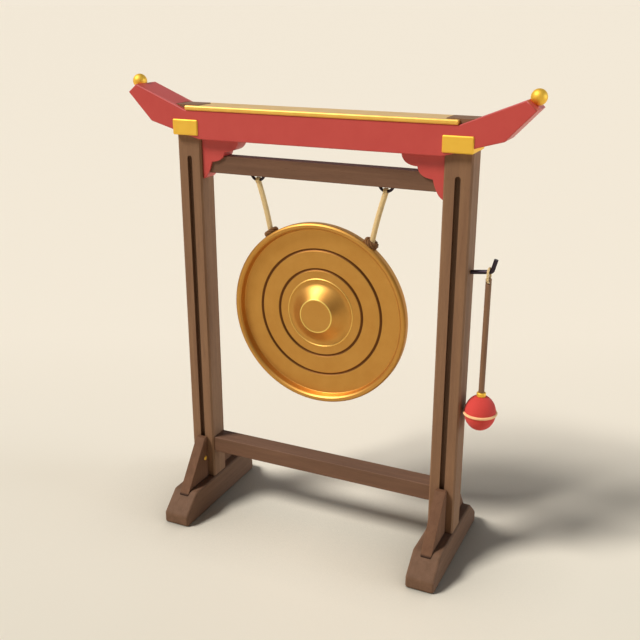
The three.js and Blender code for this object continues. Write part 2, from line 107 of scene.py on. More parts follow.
def show(name, mesh, material, node):
    """A finished piece, shown in its CAD node's place."""
    mesh.materials.clear()
    mesh.materials.append(material)
    piece = bpy.data.objects.new(name, mesh)
    scene.collection.objects.link(piece)
    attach(piece, body_of(node))
    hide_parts(node)


def mesh_of(name, bm, smooth_angle):
    """A plain mesh from a bmesh, smooth but for edges sharper than the angle in degrees."""
    bmesh.ops.recalc_face_normals(bm, faces=bm.faces)
    mesh = bpy.data.meshes.new(name)
    bm.to_mesh(mesh)
    bm.free()
    mesh.shade_smooth()
    mesh.set_sharp_from_angle(angle=math.radians(smooth_angle))
    return mesh


def evaluated_mesh(piece, name):
    """The mesh that an object's modifiers give; the object is then removed."""
    graph = bpy.context.evaluated_depsgraph_get()
    graph.update()
    mesh = bpy.data.meshes.new_from_object(piece.evaluated_get(graph), depsgraph=graph)
    mesh.name = name
    bpy.data.objects.remove(piece)
    return mesh


def line_through(name, points, closed=False):
    """A curve object of straight steps through points."""
    curve = bpy.data.curves.new(name, "CURVE")
    curve.dimensions = "3D"
    line = curve.splines.new("POLY")
    line.points.add(len(points) - 1)
    for at, point in zip(line.points, points):
        at.co = (*point, 1)
    line.use_cyclic_u = closed
    made = bpy.data.objects.new(name, curve)
    scene.collection.objects.link(made)
    return made


def bow(start, bend, end, steps):
    """Points from start to end along a curve drawn toward bend."""
    made = []
    for i in range(steps + 1):
        t = i / steps
        made.append(start * (1 - t) ** 2 + bend * 2 * t * (1 - t) + end * t ** 2)
    return made


def ring_points(middle, radius, across, upward, count=48):
    return [middle + radius * (math.cos(math.tau * i / count) * across
                               + math.sin(math.tau * i / count) * upward) for i in range(count)]


# Laid cord: strands wound round a path, each strand with its own yarns
POINTS_PER_YARN = 5
YARN_SWELL = 0.13  # how far a yarn stands out of its strand, as a share of the strand's radius


def laid_cord_tree():
    tree = bpy.data.node_groups.new("laid_cord", "GeometryNodeTree")
    face = tree.interface
    face.new_socket("Geometry", in_out="INPUT", socket_type="NodeSocketGeometry")
    for name, kind in (
        ("Strands", "NodeSocketInt"), ("Strand radius", "NodeSocketFloat"),
        ("Lay radius", "NodeSocketFloat"), ("Turns", "NodeSocketFloat"),
        ("Yarns", "NodeSocketInt"), ("Rings", "NodeSocketInt"), ("Cord", "NodeSocketMaterial"),
    ):
        face.new_socket(name, in_out="INPUT", socket_type=kind)
    face.new_socket("Geometry", in_out="OUTPUT", socket_type="NodeSocketGeometry")
    given = add_node(tree, "NodeGroupInput").outputs
    number, vector = "ShaderNodeMath", "ShaderNodeVectorMath"
    add, times, scaled = {"operation": "ADD"}, {"operation": "MULTIPLY"}, {"operation": "SCALE"}

    # Each copy of the path is moved out from it and wound round it
    path = add_node(tree, "GeometryNodeResampleCurve", None,
                    {"Curve": given["Geometry"], "Count": given["Rings"]})
    copies = add_node(tree, "GeometryNodeDuplicateElements", {"domain": "SPLINE"},
                      {"Geometry": path, "Amount": given["Strands"]})
    along = add_node(tree, "GeometryNodeSplineParameter").outputs["Factor"]
    turned = add_node(tree, number, times, [along, given["Turns"]])
    start = add_node(tree, number, {"operation": "DIVIDE"},
                     [copies.outputs["Duplicate Index"], given["Strands"]])
    angle = add_node(tree, number, times, [add_node(tree, number, add, [turned, start]), math.tau])
    normal = add_node(tree, "GeometryNodeInputNormal")
    across = add_node(tree, vector, {"operation": "CROSS_PRODUCT"},
                      [add_node(tree, "GeometryNodeInputTangent"), normal])
    out_by = add_node(tree, number, {"operation": "COSINE"}, [angle])
    across_by = add_node(tree, number, {"operation": "SINE"}, [angle])
    out = add_node(tree, vector, add, [
        add_node(tree, vector, scaled, {"Vector": normal, "Scale": out_by}),
        add_node(tree, vector, scaled, {"Vector": across, "Scale": across_by})])
    lay = add_node(tree, vector, scaled, {"Vector": out, "Scale": given["Lay radius"]})
    wound = add_node(tree, "GeometryNodeSetPosition", None, {"Geometry": copies, "Offset": lay})
    untwist = add_node(tree, number, times, [turned, -math.tau])
    strands = add_node(tree, "GeometryNodeSetCurveTilt", None, {"Curve": wound, "Tilt": untwist})

    # A strand's section is a circle with one lobe for each yarn
    section = add_node(tree, "GeometryNodeCurvePrimitiveCircle", None, {
        "Resolution": add_node(tree, number, times, [given["Yarns"], POINTS_PER_YARN]), "Radius": 1.0})
    round_it = add_node(tree, "GeometryNodeSplineParameter").outputs["Factor"]
    lobe_angle = add_node(tree, number, times, [
        add_node(tree, number, times, [round_it, given["Yarns"]]), math.pi])
    lobes = add_node(tree, number, {"operation": "ABSOLUTE"}, [
        add_node(tree, number, {"operation": "COSINE"}, [lobe_angle])])
    swell = add_node(tree, number, add, [add_node(tree, number, times, [lobes, YARN_SWELL]), 1 - YARN_SWELL])
    size = add_node(tree, number, times, [swell, given["Strand radius"]])
    round_spot = add_node(tree, "GeometryNodeInputPosition")
    spot = add_node(tree, vector, scaled, {"Vector": round_spot, "Scale": size})
    yarned = add_node(tree, "GeometryNodeSetPosition", None, {"Geometry": section, "Position": spot})

    body = add_node(tree, "GeometryNodeCurveToMesh", None,
                    {"Curve": strands, "Profile Curve": yarned, "Fill Caps": True})
    real = add_node(tree, "GeometryNodeRealizeInstances", None, {"Geometry": body})
    dressed = add_node(tree, "GeometryNodeSetMaterial", None, {"Geometry": real, "Material": given["Cord"]})
    add_node(tree, "NodeGroupOutput", None, {"Geometry": dressed})
    return tree


LAID_CORD = laid_cord_tree()


def laid_cord(points, closed, material, diameter, strands, lay_length, yarns, ring_length):
    """A laid cord along points, as a mesh. A closed one is wound a whole number of turns, so that it joins."""
    loop = [*points, points[0]] if closed else points
    length = sum((b - a).length for a, b in zip(loop, loop[1:]))
    spread = 1 / math.sin(math.pi / strands)
    strand_radius = diameter / 2 / (1 + spread)
    turns = length / lay_length
    path = line_through("path", points, closed)
    winding = path.modifiers.new("laid_cord", "NODES")
    winding.node_group = LAID_CORD
    values = {"Strands": strands, "Strand radius": strand_radius, "Lay radius": strand_radius * spread,
              "Turns": float(round(turns)) if closed else turns, "Yarns": yarns,
              "Rings": int(length / ring_length), "Cord": material}
    for item in LAID_CORD.interface.items_tree:
        if item.name in values and item.in_out == "INPUT":
            winding[item.identifier] = values[item.name]
    return evaluated_mesh(path, "laid_cord")


# Materials
def new_material(name):
    made = bpy.data.materials.new(name)
    made.use_nodes = True
    made.node_tree.nodes.clear()
    return made, made.node_tree


def finish_material(tree, tone, settings, relief=None, roughness=None):
    """Gives a material its surface. relief is (pattern, strength, depth in metres); roughness that follows
    a pattern is (pattern, smooth, rough)."""
    inputs = {"Base Color": tone, **settings}
    if relief:
        pattern, strength, depth = relief
        inputs["Normal"] = add_node(tree, "ShaderNodeBump", None, {
            "Strength": strength, "Distance": depth, "Height": pattern})
    if roughness:
        pattern, smooth, rough = roughness
        inputs["Roughness"] = add_node(tree, "ShaderNodeMapRange", None, {
            "Value": pattern, "From Min": 0.3, "From Max": 0.7, "To Min": smooth, "To Max": rough})
    surface = add_node(tree, "ShaderNodeBsdfPrincipled", None, inputs)
    add_node(tree, "ShaderNodeOutputMaterial", None, {"Surface": surface})


def uneven(tree, size, turn=(0, 0, 0), **grain):
    """An uneven pattern whose patches have a real size along X, Y and Z, before it is turned."""
    here = add_node(tree, "ShaderNodeTexCoord").outputs["Object"]
    place = add_node(tree, "ShaderNodeMapping", {"vector_type": "TEXTURE"}, {
        "Vector": here, "Scale": size, "Rotation": turn})
    return add_node(tree, "ShaderNodeTexNoise", None, {"Vector": place, "Scale": 1.0, **grain})


def laid_over(tree, tone, colour, pattern, none_at, most_at, most=1.0):
    """A tone with another laid over it, none where the pattern is at none_at and the most at most_at."""
    share = add_node(tree, "ShaderNodeMapRange", None, {
        "Value": pattern, "From Min": none_at, "From Max": most_at, "To Min": 0.0, "To Max": most})
    return add_node(tree, "ShaderNodeMix", {"data_type": "RGBA"}, {
        "Factor_Float": share, "A_Color": tone, "B_Color": colour})


# The dark brown painted as shade at the feet and down the post grooves
PAINTED_SHADE_BROWN = linear("26170e")
FOOT_EDGE = Vector((0, 96.5, 59.7)) * MM  # where a foot's flat top turns into its slope
FOOT_SLOPE = Vector((0, 36.3, 41)).normalized()
POST_GROOVE_MIDDLE, POST_GROOVE_HALF = Vector((262, 18.5, 441.2)) * MM, Vector((5.5, 4.0, 299)) * MM


def height_over_foot(tree):
    """How far a spot is above the flat top or the slope of a foot, whichever is more."""
    here = add_node(tree, "ShaderNodeTexCoord").outputs["Object"]
    folded = add_node(tree, "ShaderNodeVectorMath", {"operation": "ABSOLUTE"}, [here])
    on_slope = add_node(tree, "ShaderNodeVectorMath", {"operation": "DOT_PRODUCT"}, [folded, FOOT_SLOPE])
    over_slope = add_node(tree, "ShaderNodeMath", {"operation": "SUBTRACT"},
                          [on_slope, FOOT_SLOPE.dot(FOOT_EDGE)])
    height = add_node(tree, "ShaderNodeSeparateXYZ", None, [folded]).outputs["Z"]
    over_flat = add_node(tree, "ShaderNodeMath", {"operation": "SUBTRACT"}, [height, FOOT_EDGE.z])
    return add_node(tree, "ShaderNodeMath", {"operation": "MAXIMUM"}, [over_slope, over_flat])


def outside_post_groove(tree):
    """How far a spot is outside the stopped groove down each post's front."""
    here = add_node(tree, "ShaderNodeTexCoord").outputs["Object"]
    folded = add_node(tree, "ShaderNodeVectorMath", {"operation": "ABSOLUTE"}, [here])
    off = add_node(tree, "ShaderNodeVectorMath", {"operation": "SUBTRACT"}, [folded, POST_GROOVE_MIDDLE])
    off = add_node(tree, "ShaderNodeVectorMath", {"operation": "ABSOLUTE"}, [off])
    past = add_node(tree, "ShaderNodeVectorMath", {"operation": "SUBTRACT"}, [off, POST_GROOVE_HALF])
    x, y, z = add_node(tree, "ShaderNodeSeparateXYZ", None, [past]).outputs
    most = add_node(tree, "ShaderNodeMath", {"operation": "MAXIMUM"}, [x, y])
    return add_node(tree, "ShaderNodeMath", {"operation": "MAXIMUM"}, [most, z])


def oiled_wood(name, turn, tone, gloss=0.3, foot_shade=0.0, groove=0.0):
    """Hardwood, planed, stained and oiled by hand. It gives the eye a low satin brown with long faint
    growth bands, about 9 mm apart, and short open pores along the piece. A dark line round its foot and
    down a post's groove is painted shade. Real pores are finer: 0.8 mm is as fine as shows."""
    made, tree = new_material(name)
    light, dark, open_pore = (linear(colour) for colour in tone)
    bands = uneven(tree, (9 * MM, 9 * MM, 160 * MM), turn, Detail=3.0, Roughness=0.55, Distortion=0.6)
    pores = uneven(tree, (0.8 * MM, 0.8 * MM, 14 * MM), turn, Detail=2.0, Roughness=0.5)
    patches = uneven(tree, (70 * MM,) * 3, Detail=2.0)
    shade = laid_over(tree, dark, light, bands, 0.32, 0.68)
    shade = laid_over(tree, shade, open_pore, pores, 0.56, 0.74, 0.35)
    shade = laid_over(tree, shade, dark, patches, 0.35, 0.7, 0.2)
    # Painted shade: a dark line where the piece meets a foot's flat top or slope
    if foot_shade:
        shade = laid_over(tree, shade, PAINTED_SHADE_BROWN, height_over_foot(tree), 1.9 * MM, 1.0 * MM, foot_shade)
    # Painted shade: dark down the inside of each post's groove
    if groove:
        shade = laid_over(tree, shade, PAINTED_SHADE_BROWN, outside_post_groove(tree), 0.5 * MM, 0.0, groove)
    finish_material(tree, shade, {"IOR": 1.5, "Specular IOR Level": gloss},
                    relief=(pores, 0.25, 0.12 * MM), roughness=(pores, 0.6, 0.72))
    return made


def red_lacquer():
    """Opaque lacquer, sprayed on wood and rubbed to a satin. It gives the eye an even warm red, very
    faintly mottled, with the fine lengthwise lines of the rubbed ground under it."""
    made, tree = new_material("red_lacquer_on_wood")
    mottle = uneven(tree, (45 * MM,) * 3, Detail=4.0, Roughness=0.6)
    rubbing = uneven(tree, (60 * MM, 2 * MM, 2 * MM), Detail=3.0)
    tone = laid_over(tree, linear("c04038"), linear("c5463d"), mottle, 0.3, 0.7)
    finish_material(tree, tone, {
        "IOR": 1.5, "Specular IOR Level": 0.3, "Coat Weight": 0.4, "Coat Roughness": 0.4,
    }, relief=(rubbing, 0.15, 0.12 * MM), roughness=(rubbing, 0.5, 0.58))
    return made


def satin_metal(name, base, deep, roughness, dent=8 * MM, dent_strength=0.04, metallic=0.65, varnish=0.0):
    """Metal or metal leaf with a satin finish. It gives the eye one tone that deepens in faint clouds
    30 mm across, with low soft dents, and a paler shine where it is varnished."""
    made, tree = new_material(name)
    clouds = uneven(tree, (30 * MM,) * 3, Detail=5.0, Roughness=0.6)
    dents = uneven(tree, (dent,) * 3, Detail=2.0)
    tone = laid_over(tree, linear(base), linear(deep), clouds, 0.35, 0.7)
    finish_material(tree, tone, {
        "Metallic": metallic, "Coat Weight": varnish, "Coat Roughness": 0.4,
    }, relief=(dents, dent_strength, 0.2 * MM), roughness=(clouds, roughness - 0.05, roughness + 0.05))
    return made


def spun_fibre(name, light, dark, sheen=0.25):
    """Spun plant fibre, laid by hand. It gives the eye a dull, dry cord with lighter and darker hairs
    along its yarns; the hairs are drawn 0.5 mm wide, coarser than real, so that they show."""
    made, tree = new_material(name)
    hairs = uneven(tree, (0.5 * MM, 0.5 * MM, 3 * MM), Detail=3.0)
    lengths = uneven(tree, (6 * MM,) * 3, Detail=2.0)
    tone = laid_over(tree, linear(dark), linear(light), hairs, 0.35, 0.65)
    tone = laid_over(tree, tone, linear(dark), lengths, 0.3, 0.75, 0.3)
    finish_material(tree, tone, {
        "IOR": 1.5, "Roughness": 0.85, "Sheen Weight": sheen, "Sheen Roughness": 0.5,
    }, relief=(hairs, 0.4, 0.2 * MM))
    return made


def wool_felt():
    """Dense dyed wool felt, pressed over the mallet's head. It gives the eye a matt red with a soft
    sheen, faint clouds and a fine nap, drawn 0.9 mm coarse so that it shows."""
    made, tree = new_material("red_wool_felt")
    nap = uneven(tree, (0.9 * MM,) * 3, Detail=4.0, Roughness=0.7)
    clouds = uneven(tree, (14 * MM,) * 3, Detail=2.0)
    tone = laid_over(tree, linear("cb3c34"), linear("d6463c"), nap, 0.35, 0.65)
    tone = laid_over(tree, tone, linear("dd4c42"), clouds, 0.3, 0.7, 0.25)
    finish_material(tree, tone, {
        "IOR": 1.5, "Specular IOR Level": 0.3, "Roughness": 0.8, "Sheen Weight": 0.12, "Sheen Roughness": 0.4,
    }, relief=(nap, 0.3, 0.25 * MM))
    return made


GONG_MIDDLE = Vector((0, 0, 455.35)) * MM
BOSS_EDGE, RAISED_RING, INNER_GROOVE, OUTER_GROOVE = 32.0, 66.5, 85.7, 123.7  # radii in mm
WALL_START, WALL_DEEP = 1.6 * MM, 2.2 * MM  # the rings are on the front alone: their colours fade in between


def turned_bronze():
    """Cast bronze, turned bright on a lathe. It gives the eye a warm satin gold with very fine rings,
    dark tarnish in the two cut grooves, and a painted highlight: pale gold on the boss's edge and the thin
    raised ring.
    The lathe's marks are drawn 0.9 mm apart, coarser than real, so that they show."""
    made, tree = new_material("turned_bronze")
    here = add_node(tree, "ShaderNodeTexCoord").outputs["Object"]
    off = add_node(tree, "ShaderNodeVectorMath", {"operation": "MULTIPLY_ADD"}, [here, (1, 0, 1), -GONG_MIDDLE])
    radius = add_node(tree, "ShaderNodeVectorMath", {"operation": "LENGTH"}, [off])
    depth = add_node(tree, "ShaderNodeSeparateXYZ", None, [here]).outputs["Y"]
    in_front = add_node(tree, "ShaderNodeMapRange", None, {
        "Value": depth, "From Min": WALL_DEEP, "From Max": WALL_START})
    clouds = uneven(tree, (40 * MM,) * 3, Detail=4.0, Roughness=0.6)
    marks = add_node(tree, "ShaderNodeTexNoise", {"noise_dimensions": "1D"}, {
        "W": radius, "Scale": 1 / (0.9 * MM), "Detail": 2.0})
    tone = laid_over(tree, linear("d59e50"), linear("cf974a"), clouds, 0.35, 0.7)
    tone = laid_over(tree, tone, linear("b98040"), marks, 0.4, 0.7, 0.2)
    # The two grooves get dark tarnish; the raised ring and the boss's edge get a painted highlight in pale gold
    for ring, half_width, colour in (
        (INNER_GROOVE, 2.7 * MM, "6b4322"), (OUTER_GROOVE, 2.7 * MM, "6b4322"),
        (RAISED_RING, 1.3 * MM, "f2c66a"), (BOSS_EDGE, 1.15 * MM, "ffdf7a"),
    ):
        away = add_node(tree, "ShaderNodeMath", {"operation": "ABSOLUTE"}, [
            add_node(tree, "ShaderNodeMath", {"operation": "SUBTRACT"}, [radius, ring * MM])])
        tone = laid_over(tree, tone, linear(colour), away, half_width * 1.2, half_width * 0.7, in_front)
    finish_material(tree, tone, {"Metallic": 1.0},
                    relief=(marks, 0.1, 0.1 * MM), roughness=(clouds, 0.46, 0.51))
    return made


ALONG_Z, ALONG_X, ALONG_Y = (0, 0, 0), (0, math.pi / 2, 0), (math.pi / 2, 0, 0)
POST_TONE = ("8d6849", "7f5b40", "5a3e2c")
RAIL_TONE = ("78553e", "6b4b36", "4a3324")
FOOT_TONE = ("7a5b46", "6e523e", "4b3729")
POST_WOOD = oiled_wood("oiled_wood_upright", ALONG_Z, POST_TONE, foot_shade=0.5, groove=0.36)
BRACE_WOOD = oiled_wood("oiled_wood_brace", ALONG_Z, RAIL_TONE, gloss=0.1, foot_shade=0.9)
RAIL_WOOD = oiled_wood("oiled_wood_across", ALONG_X, RAIL_TONE)
FOOT_WOOD = oiled_wood("oiled_wood_front_to_back", ALONG_Y, FOOT_TONE, gloss=0.1)
LACQUER = red_lacquer()
GOLD_LEAF = satin_metal("varnished_gold_leaf", "f8c452", "eeb848", 0.56, varnish=0.7)
BRASS = satin_metal("satin_brass", "fcc94a", "f6c246", 0.56)
IRON = satin_metal("blackened_iron", "4a4049", "332c33", 0.5, dent=3 * MM, dent_strength=0.3, metallic=1.0)
STRAW_CORD = spun_fibre("straw_hemp_cord", "f2d59c", "e0bf84")
DARK_CORD = spun_fibre("dark_tarred_cord", "946028", "563612", sheen=0.08)
CREAM_CORD = spun_fibre("cream_cotton_band", "ffd196", "f6c286")
BRONZE = turned_bronze()
FELT = wool_felt()

# Cords: each runs from its turns round the staple's wire down to the ring knot on the gong's rim
CORD_TOP, CORD_END = Vector((127, 0, 698.0)) * MM, Vector((102.83, 0, 604.97)) * MM
CORD_BOW = 1.5 * MM
CORD_DIAMETER = 10.4 * MM
CORD_LAY = {"strands": 9, "lay_length": 38 * MM, "yarns": 2, "ring_length": 0.8 * MM}
EYE_HEIGHT, EYE_RADIUS, EYE_STRAND = 699.5 * MM, 4.6 * MM, 3.9 * MM
EYE_LAY = {"strands": 7, "lay_length": 20 * MM, "yarns": 2, "ring_length": 0.6 * MM}
KNOT_MIDDLE, KNOT_TILT = Vector((101.7, 0, 603.3)) * MM, math.radians(34.5)
KNOT_RADIUS, KNOT_STRAND = 9 * MM, 11.6 * MM
KNOT_LAY = {"strands": 5, "lay_length": 30 * MM, "yarns": 3, "ring_length": 0.6 * MM}
for side, name in SIDES:
    mirror = Matrix.Diagonal((side, 1, 1))
    bend = (CORD_TOP + CORD_END) / 2 - RIGHTWARD * 2 * CORD_BOW
    route = [mirror @ point for point in bow(CORD_TOP, bend, CORD_END, 24)]
    parts = [laid_cord(route, False, STRAW_CORD, CORD_DIAMETER, **CORD_LAY)]
    for shift in (-1, 1):
        middle = Vector((side * CORD_TOP.x + shift * EYE_STRAND / 2, 0, EYE_HEIGHT))
        eye = ring_points(middle, EYE_RADIUS, BACKWARD, UPWARD)
        parts.append(laid_cord(eye, True, STRAW_CORD, EYE_STRAND, **EYE_LAY))
    together = bmesh.new()
    for part in parts:
        together.from_mesh(part)
    show(f"{name}_laid_cord", mesh_of("laid_cord", together, 60), STRAW_CORD, f"{name}_cord")
    across = Vector((math.cos(KNOT_TILT), 0, -side * math.sin(KNOT_TILT)))
    knot = ring_points(mirror @ KNOT_MIDDLE, KNOT_RADIUS, across, BACKWARD, 64)
    show(f"{name}_knotted_ring", laid_cord(knot, True, DARK_CORD, KNOT_STRAND, **KNOT_LAY),
         DARK_CORD, f"{name}_rim_knot")

# The mallet's loop: two half turns, over the hook and through the handle
LOOP_X, LOOP_BEND, LOOP_STRAND = 319.4 * MM, 9.3 * MM, 4.5 * MM
LOOP_LOWER, LOOP_UPPER = 567.15 * MM, 573.35 * MM
LOOP_LAY = {"strands": 3, "lay_length": 13 * MM, "yarns": 4, "ring_length": 0.6 * MM}
HALF_TURN_STEPS = 16
route = []
for height, first in ((LOOP_UPPER, 0), (LOOP_LOWER, math.pi)):
    for i in range(HALF_TURN_STEPS + 1):
        turn = first + math.pi * i / HALF_TURN_STEPS
        route.append(Vector((LOOP_X, LOOP_BEND * math.cos(turn), height + LOOP_BEND * math.sin(turn))))
show("mallet_cord_loop", laid_cord(route, True, STRAW_CORD, LOOP_STRAND, **LOOP_LAY),
     STRAW_CORD, "mallet_loop")

# Wooden, lacquered and gilt pieces: the CAD form with its edges rounded
SAME_POINT = 0.02 * MM
FLAT_ANGLE, SHARP_ANGLE = math.radians(0.5), 40
ROUNDING_STEPS = 4


def softened(name, node, material, radius, shortest=4 * MM):
    """The CAD node's own form, its flat faces merged and its sharp edges rounded, but for short ones."""
    bm = bmesh.new()
    bm.from_mesh(frame["nodes"][node].data)
    bmesh.ops.remove_doubles(bm, verts=bm.verts, dist=SAME_POINT)
    bmesh.ops.dissolve_limit(bm, angle_limit=FLAT_ANGLE, verts=bm.verts, edges=bm.edges)
    edges = [e for e in bm.edges if e.is_manifold and e.calc_length() > shortest
             and math.degrees(e.calc_face_angle(0)) > SHARP_ANGLE]
    bmesh.ops.bevel(bm, geom=edges, offset=radius, offset_type="OFFSET", segments=ROUNDING_STEPS,
                    profile=0.5, affect="EDGES", clamp_overlap=True)
    piece = bpy.data.objects.new(name, mesh_of(name, bm, 35))
    scene.collection.objects.link(piece)
    flat = piece.modifiers.new("flat", "WEIGHTED_NORMAL")
    flat.keep_sharp = True
    flat.weight = 100
    show(name, evaluated_mesh(piece, name), material, node)


softened("stretcher_wood", "bottom_stretcher", RAIL_WOOD, 1.6 * MM)
softened("rail_wood", "upper_rail", RAIL_WOOD, 0.8 * MM, shortest=12 * MM)
softened("beam_lacquered", "cross_beam", LACQUER, 0.8 * MM, shortest=12 * MM)
softened("slab_gilt", "top_slab", GOLD_LEAF, 1.1 * MM)
for _, name in SIDES:
    softened(f"{name}_post_wood", f"{name}_post", POST_WOOD, 0.9 * MM)
    softened(f"{name}_foot_wood", f"{name}_foot", FOOT_WOOD, 5 * MM)
    softened(f"{name}_collar_brass", f"{name}_collar", BRASS, 1.8 * MM)
    softened(f"{name}_bracket_lacquered", f"{name}_bracket", LACQUER, 0.5 * MM, shortest=8 * MM)
    for place in ("front", "back"):
        softened(f"{name}_{place}_brace_wood", f"{name}_{place}_brace", BRACE_WOOD, 1.8 * MM)


# Turned pieces
def turned(profile, middle, axis, facets):
    """A body of revolution. Its profile is (radius, distance along the axis) in metres, and either starts
    and ends on the axis or is closed into a ring."""
    bm = bmesh.new()
    side = axis.orthogonal().normalized()
    other = axis.cross(side)
    rings = []
    for radius, along in profile:
        centre = middle + axis * along
        if radius == 0:
            rings.append([bm.verts.new(centre)])
            continue
        rings.append([bm.verts.new(centre + radius * (
            math.cos(math.tau * i / facets) * side + math.sin(math.tau * i / facets) * other))
            for i in range(facets)])
    pairs = list(zip(rings, rings[1:]))
    if profile[0][0] > 0:
        pairs.append((rings[-1], rings[0]))
    for low, high in pairs:
        for i in range(facets):
            j = (i + 1) % facets
            corners = [low[i % len(low)], low[j % len(low)], high[j % len(high)], high[i % len(high)]]
            bm.faces.new(list(dict.fromkeys(corners)))
    return bm


def rounded_profile(points, radius):
    """A profile in millimetres as one in metres, with its inner corners rounded."""
    corners = [Vector((r * MM, along * MM)) for r, along in points]
    made = [tuple(corners[0])]
    for a, b, c in zip(corners, corners[1:], corners[2:]):
        reach = min(radius, (a - b).length * 0.45, (c - b).length * 0.45)
        start, end = b + (a - b).normalized() * reach, b + (c - b).normalized() * reach
        made += [tuple(point) for point in bow(start, b, end, ROUNDING_STEPS)]
    return [*made, tuple(corners[-1])]


# Gong: its profile in millimetres, from the front's middle, over the rim, to the back's middle
FRONT, FACE, BACK, BOSS_TOP = -15.9, -0.9, 2.7, -21.4
WALL, BACK_INSET, RIM_OUTER = 3.6, 2.4, 176.5
flank = [tuple(point) for point in bow(
    Vector((33.6, BOSS_TOP + 1)), Vector((53, FACE)), Vector((60, FACE)), 16)]
gong_profile = [
    (0, BOSS_TOP + 0.8), (29.8, BOSS_TOP + 0.8), (31.8, BOSS_TOP), *flank,  # boss, its flat top a little sunk
    (64.3, FACE), (RAISED_RING, FACE - 1.7), (68.7, FACE),
    (82.5, FACE), (INNER_GROOVE, FACE + 2.2), (88.9, FACE),
    (120.5, FACE), (OUTER_GROOVE, FACE + 2.2), (126.9, FACE),
    (162.8, FACE), (165.2, FRONT + 3.2), (168.4, FRONT), (173.3, FRONT), (RIM_OUTER, FRONT + 3.2),  # rim
    (RIM_OUTER, BACK - BACK_INSET), (RIM_OUTER - BACK_INSET, BACK),
    *((r - BACK_INSET, along + WALL) for r, along in reversed(flank)),
    (30.2, BOSS_TOP + WALL), (0, BOSS_TOP + WALL),
]
gong = turned(rounded_profile(gong_profile, 1.2 * MM), GONG_MIDDLE, BACKWARD, 180)
show("gong_bronze", mesh_of("gong_bronze", gong, 50), BRONZE, "gong")

# Balls on the wing tips
BALL_X, BALL_HEIGHT, BALL_RADIUS, BALL_STEPS = 380.7 * MM, 870.8 * MM, 13.4 * MM, 32
for side, name in SIDES:
    arc = [(BALL_RADIUS * math.sin(math.pi * i / BALL_STEPS), -BALL_RADIUS * math.cos(math.pi * i / BALL_STEPS))
           for i in range(1, BALL_STEPS)]
    middle = Vector((side * BALL_X, 0, BALL_HEIGHT))
    ball = turned([(0, -BALL_RADIUS), *arc, (0, BALL_RADIUS)], middle, UPWARD, 64)
    show(f"{name}_ball_brass", mesh_of("ball", ball, 60), BRASS, f"{name}_finial_ball")

# Pegs with a low dome at their shown end
DOME_RISE, DOME_STEPS = 0.6 * MM, 6
for side, name in SIDES:
    for place in ("front", "back"):
        low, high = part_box(f"{name}_{place}_peg")
        half, radius = (high.x - low.x) / 2, (high.z - low.z) / 2
        profile = [(0, -half), (radius, -half)]
        for i in range(DOME_STEPS):
            turn = math.pi / 2 * i / DOME_STEPS
            profile.append((radius * math.cos(turn), half - DOME_RISE * (1 - math.sin(turn))))
        peg = turned([*profile, (0, half)], (low + high) / 2, -side * RIGHTWARD, 32)
        show(f"{name}_{place}_peg_brass", mesh_of("peg", peg, 50), BRASS, f"{name}_{place}_peg")


# Iron rod: staples and the mallet's hook
def rod(name, points, diameter):
    piece = line_through(name, points)
    piece.data.bevel_depth = diameter / 2
    piece.data.bevel_resolution = 6
    piece.data.use_fill_caps = True
    bm = bmesh.new()
    bm.from_mesh(evaluated_mesh(piece, name))
    return mesh_of(name, bm, 50)


STAPLE_X, STAPLE_HEIGHT, STAPLE_RADIUS = 127.9 * MM, 713 * MM, 13.5 * MM
STAPLE_LEG, STAPLE_WIRE, STAPLE_STEPS = 15.4 * MM, 5.4 * MM, 24
for side, name in SIDES:
    middle = Vector((side * STAPLE_X, 0, STAPLE_HEIGHT))
    bend = []
    for i in range(STAPLE_STEPS + 1):
        turn = math.pi * (1 + i / STAPLE_STEPS)
        bend.append(middle + STAPLE_RADIUS * Vector((math.cos(turn), 0, math.sin(turn))))
    points = [bend[0] + UPWARD * STAPLE_LEG, *bend, bend[-1] + UPWARD * STAPLE_LEG]
    show(f"{name}_staple_iron", rod("staple", points, STAPLE_WIRE),
         IRON, f"{name}_staple_eye")

HOOK_ROOT, HOOK_CORNER, HOOK_TIP = (
    Vector(p) * MM for p in ((287, 0, 572.4), (324.4, 0, 576.9), (330.3, 0, 599.2)))
HOOK_DIAMETER, HOOK_BEND, HOOK_BURY = 7.6 * MM, 6 * MM, 22 * MM
out, up = (HOOK_CORNER - HOOK_ROOT).normalized(), (HOOK_TIP - HOOK_CORNER).normalized()
reach = HOOK_BEND * math.tan(out.angle(up) / 2)
bend = bow(HOOK_CORNER - out * reach, HOOK_CORNER, HOOK_CORNER + up * reach, 8)
show("hook_iron", rod("hook", [HOOK_ROOT - out * HOOK_BURY, *bend, HOOK_TIP], HOOK_DIAMETER),
     IRON, "mallet_hook")

# Mallet: heights and radii in millimetres
softened("mallet_handle_wood", "mallet_handle", POST_WOOD, 0.4 * MM, shortest=3 * MM)
MALLET_MIDDLE = Vector((319.4, 0, 0)) * MM
HANDLE_HOLE, COLLAR_RADIUS, COLLAR_EDGE = 5.65, 8.35, 1.2
COLLAR_LOW, COLLAR_HIGH = 343.15, 351.5
collar = rounded_profile([
    (HANDLE_HOLE, COLLAR_LOW), (COLLAR_RADIUS - COLLAR_EDGE, COLLAR_LOW),
    (COLLAR_RADIUS, COLLAR_LOW + COLLAR_EDGE), (COLLAR_RADIUS, COLLAR_HIGH - COLLAR_EDGE),
    (COLLAR_RADIUS - COLLAR_EDGE, COLLAR_HIGH), (HANDLE_HOLE, COLLAR_HIGH)], 0.8 * MM)
show("mallet_collar_brass", mesh_of("collar", turned(collar, MALLET_MIDDLE, UPWARD, 48), 50),
     BRASS, "mallet_collar")

